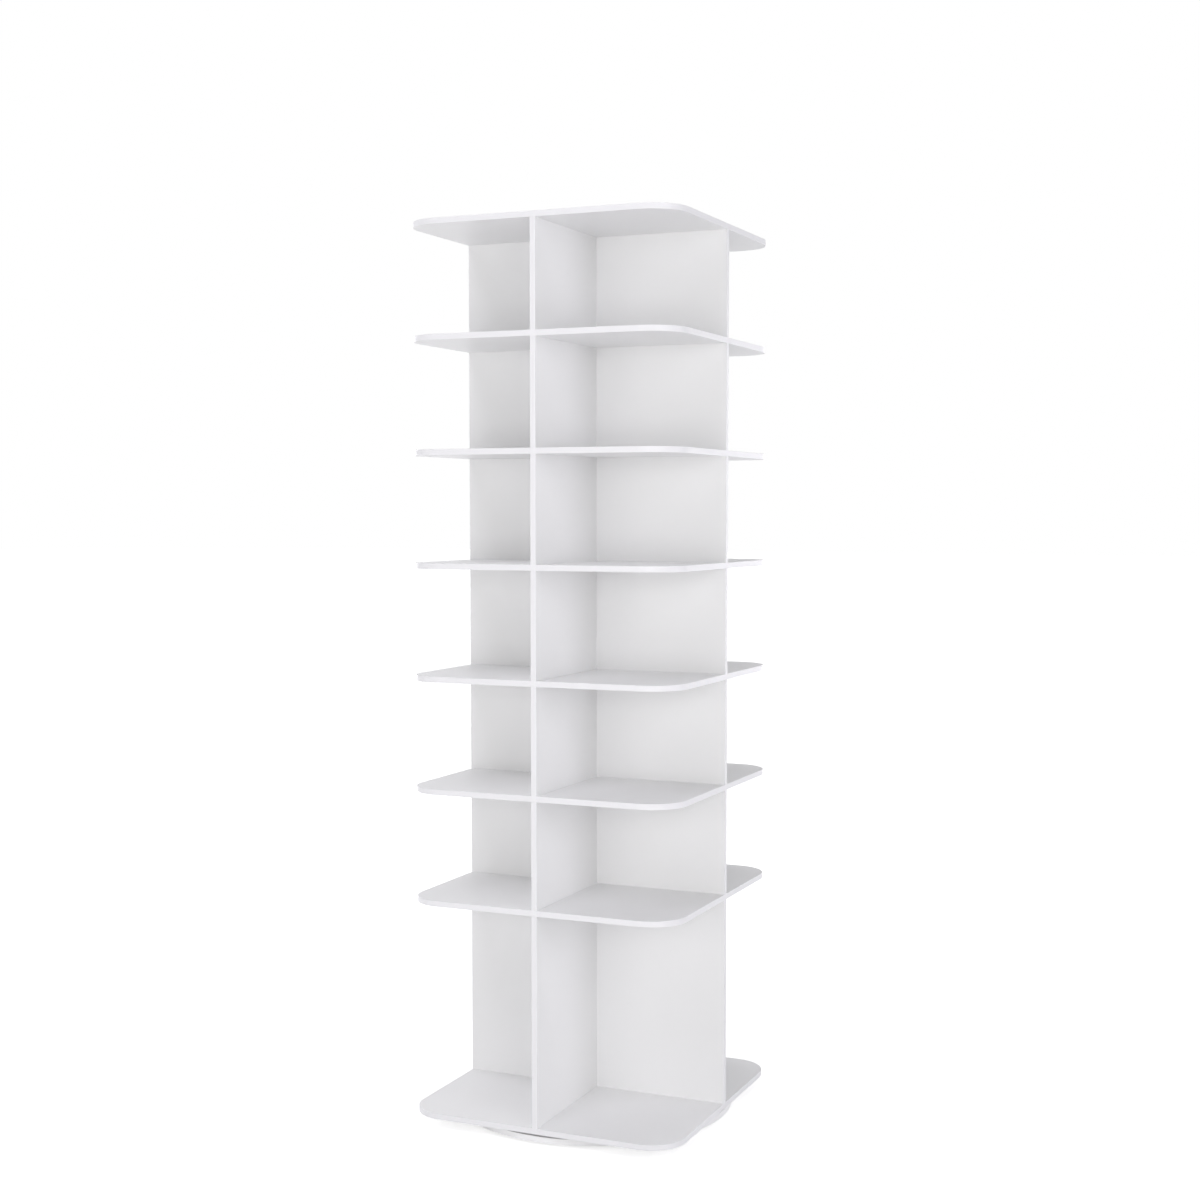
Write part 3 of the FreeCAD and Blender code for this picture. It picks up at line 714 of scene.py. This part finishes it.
# ------------------------------------------------------------------------------ cam covers
# A round cap of white plastic on each cam, held by a peg in the cam's socket. It has a rounded
# rim, a slightly sunk face with the moulding mark in its middle, and a fine spark-eroded texture.
PEG_RINGS = (                   # (radius, height), from the tip up to the cap
    (0.00152, -0.0012), (0.0019, -0.00096), (0.0019, 0.0),
)
CAP_RINGS = (                   # up the wall and over the rim
    (0.0075, 0.0), (0.0075, 0.00045), (0.00735, 0.00068), (0.0070, 0.0008), (0.0064, 0.0008),
)
CAP_FACE_RINGS = (              # over the sunk face, into the moulding mark
    (0.0061, 0.00068), (0.0008, 0.00072), (0.0006, 0.00062),
)
COVER_SIDES = 20
COVER_SMOOTH_ANGLE = 50
COVER_WHITE = (0.872, 0.870, 0.872, 1)
COVER_SHADE = (0.850, 0.850, 0.856, 1)
COVER_RELIEF = 0.00003
CAM_FROM_PANEL_EDGE = 0.024
BOLT_STATIONS = (0.046, 0.260)  # out from the axis along an arm of the cross
ARMS = ((-90, -1), (0, 1), (90, 1), (180, -1))      # angle from +X, and the side the cams face
TIER_FLOORS = [BOTTOM_SHELF_FACE] + [bottom + BOARD_THICKNESS for bottom in SHELF_BOTTOMS]
TIER_CEILINGS = SHELF_BOTTOMS + [TOP_SHELF_FACE]

cover_plastic, shader = new_material("cover_plastic")
spark = shader.noise(3200, 3, 0.6)
tone = shader.noise(60, 2)
shader.surface(
    Base_Color=shader.blended(tone, COVER_WHITE, COVER_SHADE),
    Roughness=0.44 + spark * 0.16,
    Normal=shader.bump(spark, COVER_RELIEF),
)

turned_piece("cover_pattern", [*PEG_RINGS, *CAP_RINGS, *CAP_FACE_RINGS], COVER_SIDES)
cover_pattern = end_shaping(COVER_SMOOTH_ANGLE)
for tier, low, high in zip(TIERS, TIER_FLOORS, TIER_CEILINGS):
    covers = []
    for angle, side in ARMS:
        on_arm = Matrix.Rotation(math.radians(angle), 4, "Z")
        facing = Matrix.Rotation(math.radians(-90 * side), 4, "X")
        for height in (low + CAM_FROM_PANEL_EDGE, high - CAM_FROM_PANEL_EDGE):
            for station in BOLT_STATIONS:
                spot = Matrix.Translation((station, BOARD_THICKNESS / 2 * side, height))
                covers.append(copied(cover_pattern, "cover", on_arm @ spot @ facing))
    caps = joined(f"{tier}_cam_covers", covers)
    hand_over(caps, cover_plastic, "tower", "cam_covers")
bpy.data.objects.remove(cover_pattern)

# ------------------------------------------------------------------------------ bolts
# Zinc-plated steel bolts, turned and rolled. The double ones run through a shelf and have a head
# for a cam at both ends. The single ones have a coarse wood thread and a cross recess, and are
# screwed into the bottom and the top shelf.
BOLT_RADIUS = 0.0025
BOLT_NECK_RADIUS = 0.0014
BOLT_HEAD_RADIUS = 0.0023
BOLT_HEAD_LENGTH = 0.0026
BOLT_HEAD_ROUNDING = 0.0005
BOLT_HEAD_SLOPE = 0.0002        # at the head's inner side, down to the neck
BOLT_SHOULDER_FROM_CAM = 0.00308
BOLT_SHANK_FROM_CAM = 0.0061
BOLT_SHANK_SLOPE = 0.0004       # from the neck up to the shank
BOLT_SHANK_CHAMFER = 0.0003
BOLT_RINGS = 2                  # rolled into each end of a shank
BOLT_RING_FROM_END = 0.0015
BOLT_RING_SPACING = 0.0016
BOLT_RING_DEPTH = 0.0003
BOLT_RING_THIRD = 0.0003        # of a ring's width: a slope, the floor and a slope
BOLT_THREAD_RADIUS = 0.0030
BOLT_THREAD_CORE = 0.0021
BOLT_THREAD_PITCH = 0.0016
BOLT_THREAD_LENGTH = 0.009
BOLT_THREAD_START = 0.0002
BOLT_TIP_LENGTH = 0.0006
BOLT_TIP_RADIUS = 0.00126
BOLT_SIDES = 16


def bolt_head(cam_height, up):
    """(radius, height) rings from a bolt's flat end to its shank. up is 1 for a head below its
    shank, and -1 for one above."""
    shoulder = cam_height + up * BOLT_SHOULDER_FROM_CAM
    end = shoulder - up * BOLT_HEAD_LENGTH
    shank = cam_height + up * BOLT_SHANK_FROM_CAM
    rings = [
        (BOLT_HEAD_RADIUS - BOLT_HEAD_ROUNDING, end),
        (BOLT_HEAD_RADIUS, end + up * BOLT_HEAD_ROUNDING),
        (BOLT_HEAD_RADIUS, shoulder - up * BOLT_HEAD_SLOPE),
        (BOLT_NECK_RADIUS, shoulder),
        (BOLT_NECK_RADIUS, shank - up * BOLT_SHANK_SLOPE),
        (BOLT_RADIUS - BOLT_SHANK_CHAMFER, shank),
        (BOLT_RADIUS, shank + up * BOLT_SHANK_CHAMFER),
    ]
    ring_floor = BOLT_RADIUS - BOLT_RING_DEPTH
    for ring in range(BOLT_RINGS):
        start = shank + up * (BOLT_RING_FROM_END + BOLT_RING_SPACING * ring)
        for third, radius in enumerate((BOLT_RADIUS, ring_floor, ring_floor, BOLT_RADIUS)):
            rings.append((radius, start + up * BOLT_RING_THIRD * third))
    return rings


def on_arms(pattern, stations):
    """Copies of a piece, at the same distances out along each arm of the cross."""
    copies = []
    for angle, _ in ARMS:
        on_arm = Matrix.Rotation(math.radians(angle), 4, "Z")
        for station in stations:
            copies.append(copied(pattern, "copy", on_arm @ Matrix.Translation((station, 0, 0))))
    return copies


for i, bottom in enumerate(SHELF_BOTTOMS, start=1):
    low = bolt_head(bottom - CAM_FROM_PANEL_EDGE, 1)
    high = bolt_head(bottom + BOARD_THICKNESS + CAM_FROM_PANEL_EDGE, -1)
    turned_piece("double_bolt_pattern", low + high[::-1], BOLT_SIDES)
    pattern = end_shaping()
    bolts = joined(f"shelf_{i}_double_bolts", on_arms(pattern, BOLT_STATIONS))
    hand_over(bolts, bright_zinc, "tower", "double_bolts")
    bpy.data.objects.remove(pattern)

for name, face, up in (("bottom_shelf", BOTTOM_SHELF_FACE, -1), ("top_shelf", TOP_SHELF_FACE, 1)):
    rings = bolt_head(face - up * CAM_FROM_PANEL_EDGE, up)
    rings += [(BOLT_RADIUS, face), (BOLT_THREAD_CORE, face)]
    turns = thread(
        BOLT_THREAD_START, BOLT_THREAD_LENGTH - BOLT_TIP_LENGTH,
        BOLT_THREAD_CORE, BOLT_THREAD_RADIUS, BOLT_THREAD_PITCH)
    rings += [(radius, face + up * height) for radius, height in turns]
    rings.append((BOLT_TIP_RADIUS, face + up * BOLT_THREAD_LENGTH))
    turned_piece("single_bolt_pattern", rings, BOLT_SIDES)
    pattern = end_shaping()
    flat_end = rings[0][1]
    cut_cross(pattern, flat_end, -up)
    bolts = joined(f"{name}_single_bolts", on_arms(pattern, BOLT_STATIONS))
    hand_over(bolts, bright_zinc, "tower", "single_bolts")
    bpy.data.objects.remove(pattern)

# ------------------------------------------------------------------------------ dowels
# Bare beech dowels with chamfered ends, pushed into the boards to keep them in line. Pressed
# flutes let the air out, and the grain and the short dark flecks of beech run along them.
DOWEL_RADIUS = 0.003
DOWEL_CHAMFER = 0.0008
DOWEL_FLUTE = 0.93              # of the radius, at the bottom of a flute
DOWEL_SIDES = 24
DOWEL_SMOOTH_ANGLE = 20
DOWEL_STATION = 0.153           # out from the axis along an arm of the cross
LONG_DOWEL_OUT = 0.014          # from a middle shelf's face to the dowel's end
SHORT_DOWEL_LENGTH = 0.022
SHORT_DOWEL_IN_SHELF = 0.008
BEECH_DARK = (0.56, 0.40, 0.25, 1)
BEECH_LIGHT = (0.82, 0.68, 0.50, 1)
FLECK_BROWN = (0.40, 0.25, 0.14, 1)
GRAIN_STRETCH = (1, 1, 0.04)
FLECK_STRETCH = (1, 1, 0.12)
FLECK_SHIFT = (0.2, 0.5, 0.1)   # so that the flecks don't follow the grain
BEECH_RELIEF = 0.00006

beech, shader = new_material("dowel_beech")
grain = shader.noise(1600, 4, 0.6, GRAIN_STRETCH)
flecks = (shader.noise(2600, 2, 0.5, FLECK_STRETCH, FLECK_SHIFT) > 0.62) * 0.55
wood = shader.blended(grain, BEECH_DARK, BEECH_LIGHT)
shader.surface(
    Base_Color=shader.blended(flecks, wood, FLECK_BROWN),
    Roughness=0.66 + grain * 0.16,
    Normal=shader.bump(grain, BEECH_RELIEF),
)


def fluted_dowel(name, bottom, top):
    """One dowel on the Z axis, from its bottom to its top."""
    length = top - bottom
    middle = (bottom + top) / 2
    bpy.ops.object.select_all(action="DESELECT")
    bpy.ops.mesh.primitive_cylinder_add(
        vertices=DOWEL_SIDES, radius=DOWEL_RADIUS, depth=length, location=(0, 0, middle))
    start_on(bpy.context.active_object, name)
    for height in (bottom + DOWEL_CHAMFER, top - DOWEL_CHAMFER):
        bpy.ops.mesh.select_all(action="SELECT")
        bpy.ops.mesh.bisect(plane_co=(0, 0, height), plane_no=(0, 0, 1))
    step = math.tau / DOWEL_SIDES
    pick("VERT", lambda v: round((math.atan2(v.co.x, v.co.y) % math.tau) / step) % 2 == 1)
    bpy.ops.transform.resize(value=(DOWEL_FLUTE, DOWEL_FLUTE, 1), center_override=(0, 0, middle))
    slim = (DOWEL_RADIUS - DOWEL_CHAMFER) / DOWEL_RADIUS
    pick("VERT", lambda v: abs(v.co.z - middle) > length / 2 - SLACK)
    bpy.ops.transform.resize(value=(slim, slim, 1), center_override=(0, 0, middle))
    return end_shaping(DOWEL_SMOOTH_ANGLE)


low_end = BOTTOM_SHELF_FACE - SHORT_DOWEL_IN_SHELF
high_end = TOP_SHELF_FACE + SHORT_DOWEL_IN_SHELF
spans = {
    "long": [
        (bottom - LONG_DOWEL_OUT, bottom + BOARD_THICKNESS + LONG_DOWEL_OUT)
        for bottom in SHELF_BOTTOMS
    ],
    "short": [(low_end, low_end + SHORT_DOWEL_LENGTH), (high_end - SHORT_DOWEL_LENGTH, high_end)],
}
for kind, ends in spans.items():
    dowels = []
    for bottom, top in ends:
        pattern = fluted_dowel("dowel_pattern", bottom, top)
        dowels += on_arms(pattern, (DOWEL_STATION,))
        bpy.data.objects.remove(pattern)
    group = joined(f"fluted_{kind}_dowels", dowels)
    hand_over(group, beech, "tower", f"{kind}_dowels")
